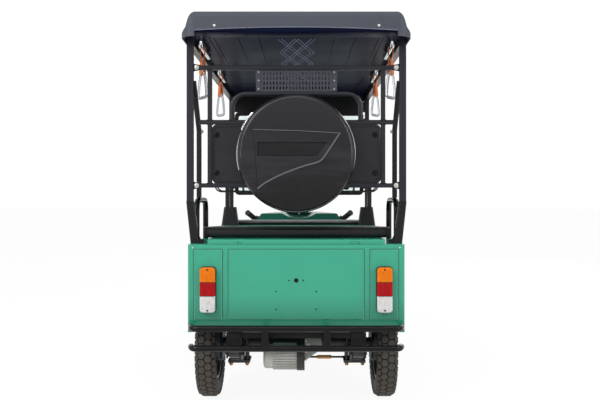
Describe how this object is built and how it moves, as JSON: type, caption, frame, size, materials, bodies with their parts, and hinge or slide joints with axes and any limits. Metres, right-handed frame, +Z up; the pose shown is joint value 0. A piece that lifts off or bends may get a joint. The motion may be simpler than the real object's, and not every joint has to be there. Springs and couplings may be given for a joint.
{
  "type": "electric passenger auto rickshaw",
  "caption": "Electric three-wheel passenger rickshaw with a roofed open cab, spare wheel and two bench rows.",
  "frame": {"origin": "on the ground, under the middle of the vehicle's bounding box", "axes": "+Y forward, +X to the right, +Z up"},
  "size_m": [1.002, 2.78, 1.7699],
  "materials": {
    "panel": "gloss",
    "frame": "satin",
    "chassis": "satin",
    "gloss_black": "gloss",
    "black_plastic": "matte",
    "roof": "gloss",
    "lining": "gloss",
    "vinyl": "satin",
    "tyre": "matte",
    "rim": "gloss",
    "steel": "satin",
    "stainless": "polished",
    "cast": "cast",
    "axle_paint": "matte",
    "glass": "clear",
    "lamp_lens": "gloss",
    "lamp_clear": "gloss",
    "amber_lens": "gloss",
    "grip_plastic": "gloss",
    "webbing": "woven",
    "rubber": "matte",
    "battery": "matte"
  },
  "bodies": {
    "root": {"chassis_frame": "chassis", "floor_pan": "chassis", "tail_panel": "panel", "side_panels": "panel", "box_floor": "panel", "seat_base": "panel", "brake_pedal": "chassis", "seat_lid": "panel", "driver_seat_box": "panel", "battery_pack": "battery", "leg_shield": "panel", "nose_cowl": "panel", "rear_posts": "frame", "front_posts": "frame", "post_boots": "black_plastic", "roof_frame": "frame", "roof_shell": "roof", "headliner": "lining", "seat_crossbars": "frame", "seat_uprights": "frame", "seat_hoop": "frame", "spare_carrier": "frame", "mesh_panel": "steel", "rear_back_panel": "gloss_black", "spare_wheel": "tyre", "spare_cover": "gloss_black", "spare_band": "stainless", "rear_cushion": "vinyl", "rear_backrest": "vinyl", "driver_cushion": "vinyl", "driver_back_frame": "frame", "driver_backrest": "vinyl", "armrests": "chassis", "side_braces": "chassis", "grab_rails": "steel", "strap_loops": "webbing", "strap_grips": "grip_plastic", "windshield_frame": "chassis", "windshield_glass": "glass", "wiper": "black_plastic", "tail_lamps": "lamp_lens", "front_indicators": "amber_lens", "rear_bumper": "chassis", "bumper_brackets": "chassis", "rear_axle": "axle_paint", "motor": "cast", "leaf_springs": "steel", "spring_clamps": "steel"},
    "steering": {"fork": "chassis", "handlebar": "stainless", "hand_grips": "rubber", "nacelle": "panel", "headlamp": "lamp_clear", "front_mudguard": "panel"},
    "front_wheel": {"front_tyre": "tyre", "front_rim": "rim"},
    "rear_left_wheel": {"rear_tyre_left": "tyre", "rear_rim_left": "rim"},
    "rear_right_wheel": {"rear_tyre_right": "tyre", "rear_rim_right": "rim"}
  },
  "joints": [
    {"name": "steering_turn", "type": "hinge", "parent": "root", "child": "steering", "pos_m": [0, 1.01901, 0.25], "axis": [0, -0.4226, 0.9063], "range_deg": [-35, 35]},
    {"name": "front_wheel_spin", "type": "hinge", "parent": "steering", "child": "front_wheel", "pos_m": [0, 1.1, 0.25], "axis": [1, 0, 0], "continuous": true},
    {"name": "rear_left_spin", "type": "hinge", "parent": "root", "child": "rear_left_wheel", "pos_m": [-0.412, -0.99, 0.25], "axis": [1, 0, 0], "continuous": true},
    {"name": "rear_right_spin", "type": "hinge", "parent": "root", "child": "rear_right_wheel", "pos_m": [0.412, -0.99, 0.25], "axis": [1, 0, 0], "continuous": true}
  ]
}
